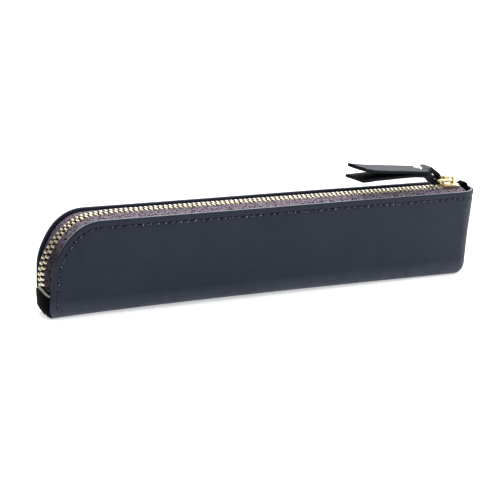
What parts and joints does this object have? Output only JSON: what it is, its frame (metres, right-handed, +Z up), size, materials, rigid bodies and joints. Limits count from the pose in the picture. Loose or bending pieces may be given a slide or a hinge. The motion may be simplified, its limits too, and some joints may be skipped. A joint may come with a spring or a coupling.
{
  "type": "fountain pen case",
  "caption": "Slim leather pen case, wider at the mouth than at the base, closed by a metal zip along its top and one rounded end, with a leather pull on the slider.",
  "frame": {"origin": "middle of the base, on the surface the case stands on", "axes": "+X along the case towards the end where the closed slider sits, +Y from the front panel to the back panel, +Z up"},
  "size_m": [0.1998, 0.0212, 0.0511],
  "materials": {
    "navy_leather": "smooth vegetable-tanned leather, satin, burnished edges",
    "dark_leather": "smooth dark leather, satin",
    "lining": "dark brushed lining cloth",
    "thread": "waxed thread",
    "zip_tape": "woven tape, dull plum",
    "teeth_brass": "light polished brass",
    "slider_brass": "polished light gold",
    "spring_steel": "spring steel",
    "rivet_metal": "polished"
  },
  "bodies": {
    "case": {"front_panel": "navy_leather", "back_panel": "navy_leather", "front_lining": "lining", "back_lining": "lining", "front_stitching": "thread", "back_stitching": "thread", "seam_stitching": "thread", "front_zip_tape": "zip_tape", "back_zip_tape": "zip_tape", "front_zip_teeth": "teeth_brass", "back_zip_teeth": "teeth_brass", "front_top_stop": "teeth_brass", "back_top_stop": "teeth_brass", "bottom_stop": "teeth_brass", "zip_end_tab": "dark_leather", "zip_head_tab": "dark_leather"},
    "slider": {"slider_body": "slider_brass", "slider_crown": "slider_brass", "lock_spring": "spring_steel"},
    "link": {"puller_link": "slider_brass"},
    "pull": {"pull_strap": "navy_leather", "rivet_cap": "rivet_metal", "rivet_post": "rivet_metal"}
  },
  "joints": [
    {"name": "slider_travel", "type": "slide", "parent": "case", "child": "slider", "axis": [-1, 0, 0], "range_m": [0, 0.153]},
    {"name": "link_swing", "type": "hinge", "parent": "slider", "child": "link", "pos_m": [0.088, 0, 0.04317], "axis": [0, 1, 0], "range_deg": [-1.5, 120]},
    {"name": "pull_swing", "type": "hinge", "parent": "link", "child": "pull", "pos_m": [0.0808, 0, 0.04317], "axis": [0, 1, 0], "range_deg": [-5, 50]}
  ]
}
